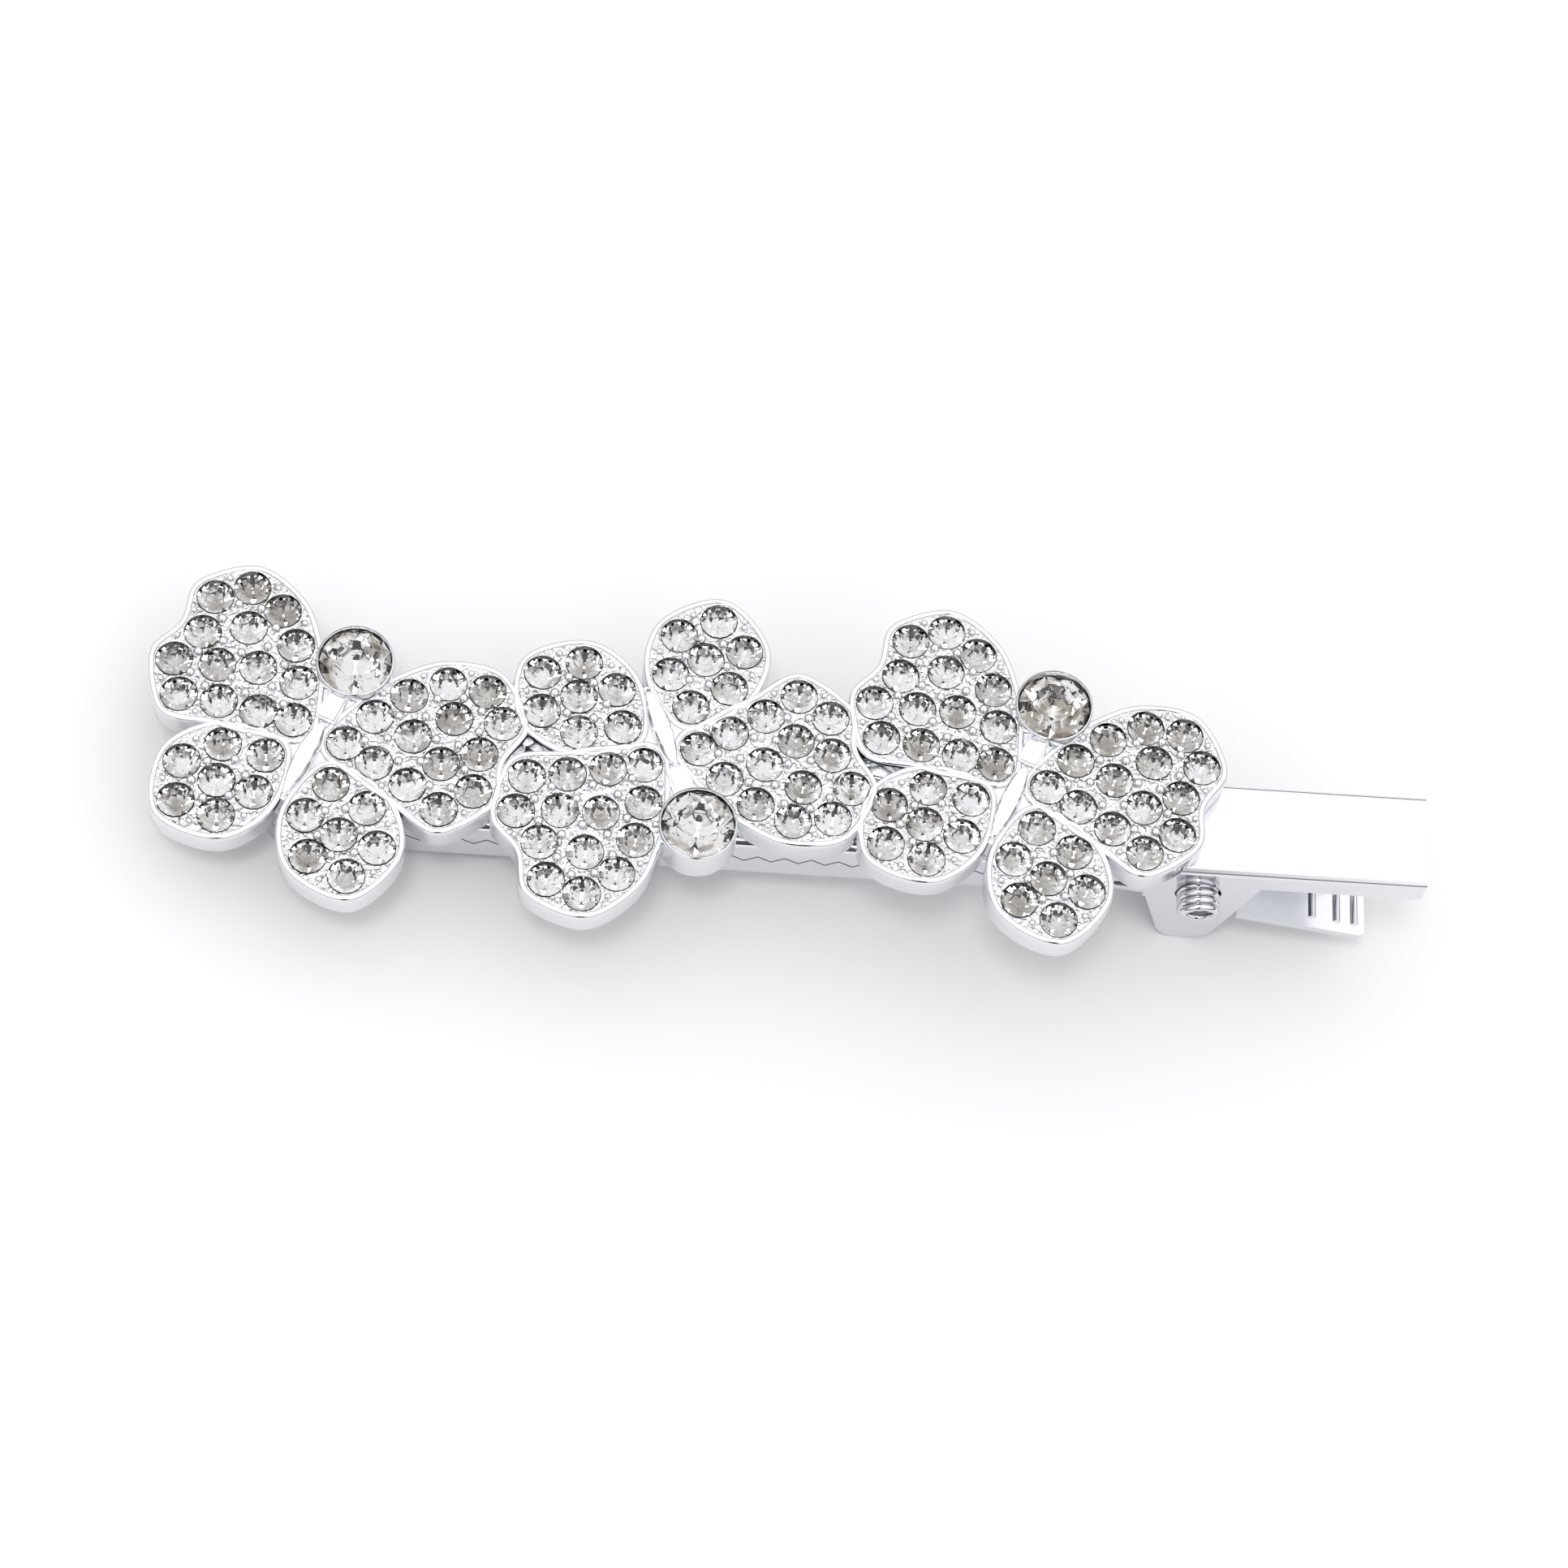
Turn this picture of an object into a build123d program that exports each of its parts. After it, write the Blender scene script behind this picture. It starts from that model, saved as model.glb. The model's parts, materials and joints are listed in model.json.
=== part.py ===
from build123d import *
import math
import os

# Sprung steel hair clip that carries three cast butterflies set with glass stones.
# Millimetres. Everything is laid out in the clip's own frame and then set down at rest:
# the hinge axis is the Y axis, +X runs to the finger end, -X to the jaw's tip, +Z is the
# decorated side. The last step tips the clip onto its ears and its jaw tip.

# ---------------------------------------------------------------- driving dimensions
STEEL = 0.5                   # thickness of both pressed arms
ARM_WIDTH = 5.4               # outside width of the arms
HINGE_TO_REAR = 12.2          # hinge axis to the plate's finger end
HINGE_TO_TIP = 51.3           # hinge axis to the jaw's tip
PLATE_TOP = 2.9               # plate's upper face above the hinge axis
FLANGE_DEPTH = 1.9            # upper arm's side flange, from the plate's upper face
PLATE_EDGE_RADIUS = 0.4       # rolled edge between plate and flange
TIP_CORNER_RADIUS = 1.2       # rounded corners at the jaw's tip
PLATE_CORNER_RADIUS = 0.15    # corners of the plate's finger end

EAR_DEPTH = 9.4               # plate's upper face to the lowest point of an ear
EAR_BASE = 6.6                # ear width where it leaves the flange
EAR_TIP_RADIUS = 1.65

JAW_DEPTH = 1.8               # lower jaw's side wall, below the tooth line
TOOTH_PITCH = 1.5
TOOTH_HEIGHT = 0.6
TOOTH_GAP = 0.12              # between the closed rows of teeth
JAW_ROOT = 7.0                # hinge axis to the back of the toothed jaw

INNER_EAR_PLAY = 0.1          # each side, between the two arms' ears
INNER_EAR_WALL = 0.8          # steel round the hinge hole of the lower arm
INNER_EAR_BASE = 5.6
LEVER_LENGTH = 10.1           # hinge axis to the lever's end
LEVER_SLOPE = 15.6            # degrees below the plate
LEVER_DROP = 2.4              # lever's underside below the hinge axis, at the hinge
LEVER_EAR_PLAY = 0.25         # between an outer ear and the lever where it widens
LEVER_CORNER_RADIUS = 0.4
RIB_PLACES = (7.0, 8.45, 9.5) # grip ribs pressed into the lever, from the hinge axis
RIB_RADIUS = 0.22
RIB_LENGTH = 4.2
BEND_RADIUS = 1.0             # bends of the lower arm

WIRE = 0.44                   # spring wire
COIL_DIAMETER = 2.4           # outside
COIL_PLAY = 0.08              # between the coil and the hinge holes
COIL_OVERHANG = 1.5           # coil standing out of each ear
SPRING_LEG = 5.2              # hinge axis to the end of a spring leg
LEG_SPAN = 0.9                # between the two strands of a leg
LEG_EAR_PLAY = 0.13           # between a leg and the inner ear beside it
LEG_SEAT = 0.05               # between a leg and the steel that it presses on

STONE = 2.0                   # small stone, diameter
STONE_SPACING = 0.17          # between neighbouring stones
STONE_TABLE = 0.55            # table width over stone diameter
STONE_CROWN = 0.36            # height above the girdle
STONE_PAVILION = 0.75         # depth below the girdle
CULET = 0.12                  # flat at the point of a stone's back, diameter
GIRDLE = 0.08
SEAT_PLAY = 0.03              # between a stone and its seat
SEAT_FLOOR = 0.5              # flat at the bottom of a seat, diameter
RIM = 0.45                    # metal outside the outer row of stones
CASTING = 1.8                 # thickness of a butterfly
HEAD_STONE = 3.9              # large stone, diameter
HEAD_CROWN = 0.75
HEAD_PAVILION = 1.45
CUP_WALL = 0.28
CUP_HEIGHT = 2.4
BODY_LENGTH = 5.0
BODY_WIDTH = 0.84
BODY_RISE = 0.5               # body ridge above the wings

BUTTERFLY_COUNT = 3
BUTTERFLY_TURN = 22.0         # degrees, heads turned towards the finger end
FLIPPED_TURN = 158.4          # degrees, the middle butterfly
FIRST_TO_REAR = 22.6          # rearmost butterfly's centre from the plate's finger end
BUTTERFLY_OVERHANG = 1.45     # centres stand off the clip's middle line
PAD_LENGTH = 8.0
PAD_WIDTH = 4.2
PAD = 0.2                     # adhesive thickness

# Butterfly layout, in stone pitches, right-hand wings, +Y towards the head.
PITCH = STONE + STONE_SPACING
FOREWING_ROW = ((0.72, 0.05), (1.05, 0.99), (1.56, 1.88), (2.27, 2.59), (3.19, 2.87),
                (3.99, 2.34), (3.82, 1.39), (4.14, 0.46), (3.77, -0.46), (1.74, -0.12))
FOREWING_ROW_COUNT = 11
FOREWING_INNER = ((2.15, 0.95), (2.86, 1.83), (3.10, 0.58))
HINDWING_ROW = ((0.90, -1.10), (1.96, -1.28), (2.67, -2.08), (2.46, -3.05), (1.46, -3.17),
                (0.70, -2.07))
HINDWING_ROW_COUNT = 6
HINDWING_INNER = ((1.68, -2.23),)
HEAD_PLACE = 2.06
BODY_PLACE = -0.76

# ---------------------------------------------------------------- worked-out values
HALF = ARM_WIDTH / 2
PLATE_UNDER = PLATE_TOP - STEEL
TOOTH_LINE = PLATE_TOP - FLANGE_DEPTH
EAR_TIP = PLATE_TOP - EAR_DEPTH + EAR_TIP_RADIUS
JAW_FLOOR = TOOTH_LINE - JAW_DEPTH
INNER_HALF = HALF - STEEL - INNER_EAR_PLAY
LEG_OFFSET = INNER_HALF - STEEL - LEG_EAR_PLAY - (LEG_SPAN + WIRE) / 2
HOLE_RADIUS = COIL_DIAMETER / 2 + COIL_PLAY
COIL_MEAN = (COIL_DIAMETER - WIRE) / 2
LEVER_TAN = math.tan(math.radians(LEVER_SLOPE))
EAR_TAPER = (EAR_BASE / 2 - EAR_TIP_RADIUS) / (TOOTH_LINE - EAR_TIP)
LEVER_TO_EAR_BASE = TOOTH_LINE + LEVER_DROP - STEEL
LEVER_NECK = (EAR_BASE / 2 - EAR_TAPER * LEVER_TO_EAR_BASE + LEVER_EAR_PLAY) / (1 + EAR_TAPER * LEVER_TAN)
BUTTERFLY_PITCH = 8.78 * PITCH
CASTING_BASE = PLATE_TOP + PAD
LONG = 4 * HINGE_TO_TIP
REST_TILT = math.degrees(
    math.atan2(JAW_FLOOR - EAR_TIP, HINGE_TO_TIP)
    + math.asin(EAR_TIP_RADIUS / math.hypot(HINGE_TO_TIP, JAW_FLOOR - EAR_TIP))
)


def across(face, width, middle=0.0):
    """Extrude a face drawn in the side plane across the clip, about y = middle."""
    return Pos(0, middle, 0) * extrude(face, width / 2, both=True)


def side_face(points):
    """A face in the side plane (x, z) from its corner points."""
    return Plane.XZ * make_face(Polyline(*points, close=True))


# ---------------------------------------------------------------- pressed arms
def tooth_row(offset):
    """Everything above the tooth line, moved up by the offset, as a block."""
    count = round((HINGE_TO_TIP - JAW_ROOT) / TOOTH_PITCH)
    step = (HINGE_TO_TIP - JAW_ROOT) / count
    points = [(-HINGE_TO_TIP - step, TOOTH_LINE + offset)]
    for i in range(count):
        x = -HINGE_TO_TIP + i * step
        points.append((x + 0.25 * step, TOOTH_LINE + TOOTH_HEIGHT / 2 + offset))
        points.append((x + 0.75 * step, TOOTH_LINE - TOOTH_HEIGHT / 2 + offset))
    points.append((-JAW_ROOT, TOOTH_LINE + offset))
    points.append((HINGE_TO_REAR + step, TOOTH_LINE + offset))
    points.append((HINGE_TO_REAR + step, PLATE_TOP + step))
    points.append((-HINGE_TO_TIP - step, PLATE_TOP + step))
    return across(side_face(points), 2 * ARM_WIDTH)


def arm_outline(rear, rear_radius):
    """Plan view of an arm, with rounded corners, as a tall block that trims it."""
    length = HINGE_TO_TIP + rear
    plan = Pos(rear - length / 2, 0) * Rectangle(length, ARM_WIDTH)
    plan = fillet(plan.vertices().sort_by(Axis.X)[:2], TIP_CORNER_RADIUS)
    plan = fillet(plan.vertices().sort_by(Axis.X)[-2:], rear_radius)
    return extrude(plan, LONG, both=True)


def ear_face(tip_height, tip_radius, base_height, base_width):
    """Rounded triangle in the side plane, from a straight base to a round tip."""
    base = Pos(0, base_height) * Rectangle(base_width, 0.2)
    round_tip = Pos(0, tip_height) * Circle(tip_radius)
    return Plane.XZ * make_hull((base.edges() + round_tip.edges()))


def upper_arm():
    """Plate with rolled edges, toothed flanges and the outer pair of ears."""
    middle = PLATE_TOP - FLANGE_DEPTH
    skirt = FLANGE_DEPTH + TOOTH_HEIGHT
    section = Pos(0, PLATE_TOP - skirt / 2) * Rectangle(ARM_WIDTH, skirt)
    section = fillet(section.vertices().sort_by(Axis.Y)[-2:], PLATE_EDGE_RADIUS)
    hollow = Pos(0, PLATE_UNDER - skirt / 2) * Rectangle(ARM_WIDTH - 2 * STEEL, skirt)
    channel = extrude(Plane.YZ * (section - hollow), 2 * HINGE_TO_TIP, both=True)
    channel = channel & tooth_row(TOOTH_GAP / 2) & arm_outline(HINGE_TO_REAR, PLATE_CORNER_RADIUS)
    face = ear_face(EAR_TIP, EAR_TIP_RADIUS, middle, EAR_BASE)
    for side in (-1, 1):
        channel += across(face, STEEL, side * (HALF - STEEL / 2))
    return channel - across(Plane.XZ * Circle(HOLE_RADIUS), 2 * ARM_WIDTH)


def lever_height(x):
    """Middle of the lever's steel at a distance from the hinge axis."""
    return -LEVER_DROP + STEEL / 2 - x * LEVER_TAN


def lower_arm():
    """Toothed jaw, inner pair of ears and the finger lever, pressed from one strip."""
    floor = JAW_FLOOR + STEEL / 2
    line = FilletPolyline(
        (-HINGE_TO_TIP - STEEL, floor),
        (-JAW_ROOT, floor),
        (0, lever_height(0)),
        (LEVER_LENGTH + STEEL, lever_height(LEVER_LENGTH + STEEL)),
        radius=BEND_RADIUS,
    )
    strip = across(Plane.XZ * trace(line, STEEL), ARM_WIDTH)
    waist_length = LEVER_NECK + JAW_ROOT
    for side in (-1, 1):
        waist = Box(waist_length, ARM_WIDTH, LONG)
        strip -= Pos(LEVER_NECK - waist_length / 2, side * (INNER_HALF + HALF), 0) * waist
    skirt = side_face((
        (-HINGE_TO_TIP - STEEL, JAW_FLOOR),
        (-JAW_ROOT, JAW_FLOOR),
        (-JAW_ROOT, PLATE_TOP),
        (-HINGE_TO_TIP - STEEL, PLATE_TOP),
    ))
    for side in (-1, 1):
        strip += across(skirt, STEEL, side * (HALF - STEEL / 2))
    strip = strip & arm_outline(LEVER_LENGTH, LEVER_CORNER_RADIUS)
    strip -= tooth_row(-TOOTH_GAP / 2)
    ear = ear_face(0, HOLE_RADIUS + INNER_EAR_WALL, -LEVER_DROP + STEEL / 2, INNER_EAR_BASE)
    for side in (-1, 1):
        strip += across(ear, STEEL, side * (INNER_HALF - STEEL / 2))
    for place in RIB_PLACES:
        rib = across(Plane.XZ * (Pos(place, lever_height(place)) * Circle(RIB_RADIUS)), RIB_LENGTH)
        strip += Pos(0, 0, STEEL / 2) * rib
        strip -= Pos(0, 0, -STEEL / 2) * rib
    return strip - across(Plane.XZ * Circle(HOLE_RADIUS), 2 * ARM_WIDTH)


# ---------------------------------------------------------------- spring
def coil_section(length):
    """Half section of the close-wound coil: a chain of touching wire circles."""
    turns = round(length / WIRE)
    pitch = length / turns
    bulge = WIRE / 2
    edges = []
    for side in (-1, 1):
        for i in range(turns):
            start = -length / 2 + i * pitch
            edges.append(ThreePointArc(
                (start, COIL_MEAN + side * bulge / 4),
                (start + pitch / 2, COIL_MEAN + side * bulge),
                (start + pitch, COIL_MEAN + side * bulge / 4),
            ))
        end = side * length / 2
        edges.append(Line((end, COIL_MEAN - bulge / 4), (end, COIL_MEAN + bulge / 4)))
    return make_face(edges)


def spring_leg(end_height, side):
    """One leg: the wire leaves the coil, runs back, turns round and returns."""
    reach = math.hypot(SPRING_LEG, end_height)
    lean = math.asin(COIL_MEAN / reach)
    slope = math.atan2(end_height, SPRING_LEG)
    up = math.copysign(1, end_height)
    angle = slope + up * (math.pi / 2 - lean)
    start = Vector(COIL_MEAN * math.cos(angle), 0, COIL_MEAN * math.sin(angle))
    end = Vector(SPRING_LEG, 0, end_height)
    along = (end - start).normalized()
    half_span = Vector(0, LEG_SPAN / 2, 0)
    middle = Vector(0, side * LEG_OFFSET, 0)
    path = Wire([
        Edge.make_line(start + middle - half_span, end + middle - half_span),
        Edge.make_three_point_arc(
            end + middle - half_span,
            end + middle + along * (LEG_SPAN / 2),
            end + middle + half_span,
        ),
        Edge.make_line(end + middle + half_span, start + middle + half_span),
    ])
    return sweep(Plane(start + middle - half_span, z_dir=along) * Circle(WIRE / 2), path)


def torsion_spring():
    """Coil that is also the hinge pin, with a leg under the plate and one on the lever."""
    section = coil_section(ARM_WIDTH + 2 * COIL_OVERHANG)
    coil = Rot(0, 0, 90) * revolve(section, Axis.X)
    seat = WIRE / 2 + LEG_SEAT
    upper_end = PLATE_UNDER - seat
    lower_end = lever_height(SPRING_LEG) + (STEEL / 2 + seat) / math.cos(math.radians(LEVER_SLOPE))
    return coil + spring_leg(upper_end, -1) + spring_leg(lower_end, 1)


# ---------------------------------------------------------------- butterflies
def row_line(points):
    """Closed smooth line through the row of stones at a wing's edge."""
    return Spline(*[(x * PITCH, y * PITCH) for x, y in points], periodic=True)


def wing_stones(row, count, inner):
    """Centres of a right-hand wing's stones: an even row round the edge, then the inside."""
    line = row_line(row)
    places = [line @ (i / count) for i in range(count)]
    return [(p.X, p.Y) for p in places] + [(x * PITCH, y * PITCH) for x, y in inner]


FOREWING_STONES = wing_stones(FOREWING_ROW, FOREWING_ROW_COUNT, FOREWING_INNER)
HINDWING_STONES = wing_stones(HINDWING_ROW, HINDWING_ROW_COUNT, HINDWING_INNER)
WINGS = {
    "right_forewing": FOREWING_STONES,
    "left_forewing": [(-x, y) for x, y in FOREWING_STONES],
    "right_hindwing": HINDWING_STONES,
    "left_hindwing": [(-x, y) for x, y in HINDWING_STONES],
}


def stone(diameter, crown, pavilion):
    """Round stone with a flat table and a pointed back, its girdle at z = 0."""
    table = diameter / 2 * STONE_TABLE
    section = Polyline(
        (0, crown),
        (table, crown),
        (diameter / 2, GIRDLE / 2),
        (diameter / 2, -GIRDLE / 2),
        (CULET / 2, -pavilion),
        (0, -pavilion),
        close=True,
    )
    return revolve(Plane.XZ * make_face(section), Axis.Z)


def seat_cutter(diameter, pavilion):
    """Cone for a stone's back, carried on upwards as a round hole."""
    radius = diameter / 2 + SEAT_PLAY
    section = Polyline(
        (0, pavilion),
        (radius, pavilion),
        (radius, -GIRDLE / 2),
        (SEAT_FLOOR / 2, -pavilion - SEAT_PLAY),
        (0, -pavilion - SEAT_PLAY),
        close=True,
    )
    return revolve(Plane.XZ * make_face(section), Axis.Z)


SMALL_SEAT_TOP = CASTING - GIRDLE
HEAD_SEAT_TOP = CUP_HEIGHT - CUP_WALL
CUP_RADIUS = HEAD_STONE / 2 + SEAT_PLAY + CUP_WALL
HEAD_Y = HEAD_PLACE * PITCH
BODY_Y = BODY_PLACE * PITCH


def wing_plan(row, count, side):
    """Wing plan: a smooth line half a stone and the rim outside the row of stones."""
    line = row_line(row)
    margin = STONE / 2 + RIM
    points = []
    for i in range(count):
        place = line @ (i / count)
        run = line % (i / count)
        points.append((side * (place.X - margin * run.Y), place.Y + margin * run.X))
    return make_face(Spline(*points, periodic=True))


def butterfly_places():
    """Where each butterfly stands on the plate, from the jaw's tip to the finger end."""
    places = []
    for number in range(BUTTERFLY_COUNT):
        x = HINGE_TO_REAR - FIRST_TO_REAR - (BUTTERFLY_COUNT - 1 - number) * BUTTERFLY_PITCH
        turn = -FLIPPED_TURN if number % 2 else -BUTTERFLY_TURN
        places.append(Pos(x, BUTTERFLY_OVERHANG, CASTING_BASE) * Rot(0, 0, turn))
    return places


def body_plan():
    """Plan of the body's ridge: two arcs that meet in a point at each end."""
    chord = BODY_LENGTH / 2
    sag = BODY_WIDTH / 2
    radius = (chord**2 + sag**2) / (2 * sag)
    return Pos(sag - radius, 0) * Circle(radius) & Pos(radius - sag, 0) * Circle(radius)


def middle_strip(width, low, high):
    """Flat strip along a butterfly's middle line."""
    return Pos(0, (low + high) / 2) * Rectangle(width, high - low)


def butterfly_plan():
    """Plan of one butterfly: four wings joined at their roots, out to the head and tail."""
    root_width = 2 * FOREWING_ROW[0][0] * PITCH
    plan = middle_strip(root_width, HINDWING_ROW[0][1] * PITCH, HEAD_Y)
    plan += middle_strip(BODY_WIDTH, HINDWING_ROW[-1][1] * PITCH, HEAD_Y)
    for side in (-1, 1):
        plan += wing_plan(FOREWING_ROW, FOREWING_ROW_COUNT, side)
        plan += wing_plan(HINDWING_ROW, HINDWING_ROW_COUNT, side)
    return plan


def butterfly_casting():
    """Three butterflies joined at their wings, with body ridges, head cups and seats."""
    flat = Pos(0, 0, -CASTING_BASE)
    plan = Sketch() + [flat * place * butterfly_plan() for place in butterfly_places()]
    casting = Pos(0, 0, CASTING_BASE) * extrude(plan, CASTING)
    ridge = Pos(0, BODY_Y, CASTING) * extrude(body_plan(), BODY_RISE, taper=30)
    cup = extrude(Pos(0, HEAD_Y) * Circle(CUP_RADIUS), CUP_HEIGHT)
    small = seat_cutter(STONE, STONE_PAVILION)
    large = Pos(0, HEAD_Y, HEAD_SEAT_TOP) * seat_cutter(HEAD_STONE, HEAD_PAVILION)
    for place in butterfly_places():
        casting += [place * ridge, place * cup]
    for place in butterfly_places():
        for wing in WINGS.values():
            casting -= [place * Pos(x, y, SMALL_SEAT_TOP) * small for x, y in wing]
        casting -= place * large
    return casting


def adhesive_pad():
    """Thin rounded pad between a casting and the plate."""
    plan = fillet(Rectangle(PAD_LENGTH, PAD_WIDTH).vertices(), PAD_WIDTH / 3)
    return extrude(plan, PAD)


# ---------------------------------------------------------------- assembly
def rest(shape):
    """Tip the clip onto its ears and jaw tip."""
    return Rot(0, -REST_TILT, 0) * shape


def all_nodes():
    """Every node of the clip, by name, in the clip's own frame."""
    nodes = {
        "upper_arm": upper_arm(),
        "lower_arm": lower_arm(),
        "torsion_spring": torsion_spring(),
    }
    nodes["butterfly_casting"] = butterfly_casting()
    small = stone(STONE, STONE_CROWN, STONE_PAVILION)
    large = Pos(0, HEAD_Y, HEAD_SEAT_TOP) * stone(HEAD_STONE, HEAD_CROWN, HEAD_PAVILION)
    for number, place in enumerate(butterfly_places(), start=1):
        for wing, places in WINGS.items():
            stones = [place * Pos(x, y, SMALL_SEAT_TOP) * small for x, y in places]
            nodes[f"butterfly_{number}_{wing}_stones"] = Compound(children=stones)
        nodes[f"butterfly_{number}_head_stone"] = place * large
        nodes[f"butterfly_{number}_adhesive"] = Pos(place.position.X, 0, PLATE_TOP) * adhesive_pad()
    return nodes


def main():
    """Build, set down at rest with the origin under the middle, and write the files."""
    os.makedirs("parts", exist_ok=True)
    nodes = {name: rest(shape) for name, shape in all_nodes().items()}
    boxes = [shape.bounding_box() for shape in nodes.values()]
    low = [min(tuple(box.min)[axis] for box in boxes) for axis in range(3)]
    high = [max(tuple(box.max)[axis] for box in boxes) for axis in range(3)]
    shift = Vector(-(low[0] + high[0]) / 2, -(low[1] + high[1]) / 2, -low[2])
    for name, shape in nodes.items():
        export_step(Pos(shift) * shape, f"parts/{name}.step")
    print("hinge axis", shift, "rest tilt", REST_TILT)
    print("size", [top - bottom for top, bottom in zip(high, low)])


main()
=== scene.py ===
"""Finishes and detail for a sprung hair clip set with glass stones.

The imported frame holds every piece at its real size. This script keeps the pressed arms and
the adhesive and gives them their finishes. It makes anew what needs more than a plain solid:
the pavé butterflies, the cut stones and the wound spring. Lengths in the pieces' classes are
millimetres in the clip's own frame: x runs from the hinge to the finger end, y across the
clip, z out of the plate. The studio's lengths are metres in the row frame.
"""

import json
import logging
import math
from dataclasses import dataclass
from enum import Enum

import bmesh
import bpy
import numpy as np
from mathutils import Matrix, Vector, geometry


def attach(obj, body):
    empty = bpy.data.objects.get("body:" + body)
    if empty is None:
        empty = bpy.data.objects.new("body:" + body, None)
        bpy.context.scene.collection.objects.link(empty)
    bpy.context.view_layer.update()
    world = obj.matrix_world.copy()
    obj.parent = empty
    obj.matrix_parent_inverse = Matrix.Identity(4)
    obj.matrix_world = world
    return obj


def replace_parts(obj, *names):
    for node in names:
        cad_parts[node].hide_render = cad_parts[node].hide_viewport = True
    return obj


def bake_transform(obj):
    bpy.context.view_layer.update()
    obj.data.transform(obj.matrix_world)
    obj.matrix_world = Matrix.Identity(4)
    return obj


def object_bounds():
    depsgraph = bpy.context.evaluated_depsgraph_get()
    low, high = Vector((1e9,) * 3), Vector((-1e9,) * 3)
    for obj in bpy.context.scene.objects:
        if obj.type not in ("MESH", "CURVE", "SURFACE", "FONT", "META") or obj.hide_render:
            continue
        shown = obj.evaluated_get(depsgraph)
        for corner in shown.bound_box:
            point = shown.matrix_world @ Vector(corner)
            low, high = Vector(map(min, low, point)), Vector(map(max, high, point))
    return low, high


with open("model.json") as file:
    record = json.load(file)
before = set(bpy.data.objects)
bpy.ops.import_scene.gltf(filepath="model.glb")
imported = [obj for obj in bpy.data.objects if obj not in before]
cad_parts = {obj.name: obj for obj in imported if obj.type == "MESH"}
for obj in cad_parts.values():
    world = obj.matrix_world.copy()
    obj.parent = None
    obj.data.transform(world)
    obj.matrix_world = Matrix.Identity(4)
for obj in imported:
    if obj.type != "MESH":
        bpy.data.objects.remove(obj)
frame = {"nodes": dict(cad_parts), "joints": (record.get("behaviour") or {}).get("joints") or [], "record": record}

LOG = logging.getLogger("hair_clip")
CAD_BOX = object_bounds()
MM = 0.001
WELD_MM = 0.0002        # points of a mesh that are nearer than this become one
TOUCH_MM = 1e-5         # points of a flat outline that are nearer than this are the same
SOFT_CREASE = 40.0      # degrees: edges flatter than this are shaded smooth
FACET_CREASE = 0.5      # degrees: keeps every facet of a cut stone flat
UPPER = "upper_body"


# ------------------------------------------------------------------ frame
@dataclass(frozen=True)
class ClipAxes:
    """The clip's own axes inside the row frame, where it lies nose down on its ears."""

    hinge: Vector
    along: Vector
    across: Vector
    up: Vector

    @classmethod
    def from_frame(cls) -> "ClipAxes":
        """Read the hinge from the joint, and the plate's tilt from the flat under the jaw."""
        hinge = Vector(frame["joints"][0]["pos_m"])
        under = next(m for m in frame["record"]["mounts"] if m["kind"] == "flat_face")
        up = Vector(under["axis"]).normalized()
        up = -up if up.z < 0 else up
        across = Vector((0.0, 1.0, 0.0))
        return cls(hinge, across.cross(up).normalized(), across, up)

    def world(self, x: float, y: float, z: float) -> Vector:
        """Row-frame point, in metres, of a point of the clip frame, in millimetres."""
        return self.hinge + (self.along * x + self.across * y + self.up * z) * MM

    def local(self, points: np.ndarray) -> np.ndarray:
        """Clip-frame millimetres of row-frame points in metres."""
        basis = np.array([self.along, self.across, self.up])
        return (points - np.array(self.hinge)) @ basis.T / MM


def node_points(name: str) -> np.ndarray:
    """Vertex positions of a CAD node, in row-frame metres."""
    return np.array([v.co for v in frame["nodes"][name].data.vertices], float)


def loose_parts(name: str) -> list[np.ndarray]:
    """Split a CAD node into its separate solids.

    Args:
        name: The CAD node.

    Returns:
        One array of vertex positions for each solid, ordered by place.
    """
    mesh = frame["nodes"][name].data
    points = node_points(name)
    micrometres = np.round(points / MM, 3)
    _, merged = np.unique(micrometres, axis=0, return_inverse=True)
    merged = merged.ravel()
    parent = list(range(int(merged.max()) + 1))

    def root(i: int) -> int:
        """The label that stands for a vertex's solid."""
        while parent[i] != i:
            parent[i] = parent[parent[i]]
            i = parent[i]
        return i

    for polygon in mesh.polygons:
        corners = [root(int(merged[v])) for v in polygon.vertices]
        for corner in corners[1:]:
            parent[root(corner)] = root(corners[0])
    labels = np.array([root(int(m)) for m in merged])
    parts = [points[labels == label] for label in np.unique(labels)]
    return sorted(parts, key=lambda p: tuple(np.round(p.mean(0) / MM, 2)))


# ------------------------------------------------------------------ materials
def linear(colour: str) -> tuple[float, float, float, float]:
    """Linear colour of an sRGB hex value."""
    parts = [int(colour.lstrip("#")[i:i + 2], 16) / 255 for i in (0, 2, 4)]
    lit = [c / 12.92 if c <= 0.04045 else ((c + 0.055) / 1.055) ** 2.4 for c in parts]
    return (*lit, 1.0)


def start_material(name: str) -> tuple[bpy.types.Material, bpy.types.NodeTree, bpy.types.Node]:
    """A new material, its node tree and its shader."""
    material = bpy.data.materials.new(name)
    material.use_nodes = True
    return material, material.node_tree, material.node_tree.nodes["Principled BSDF"]


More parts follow.
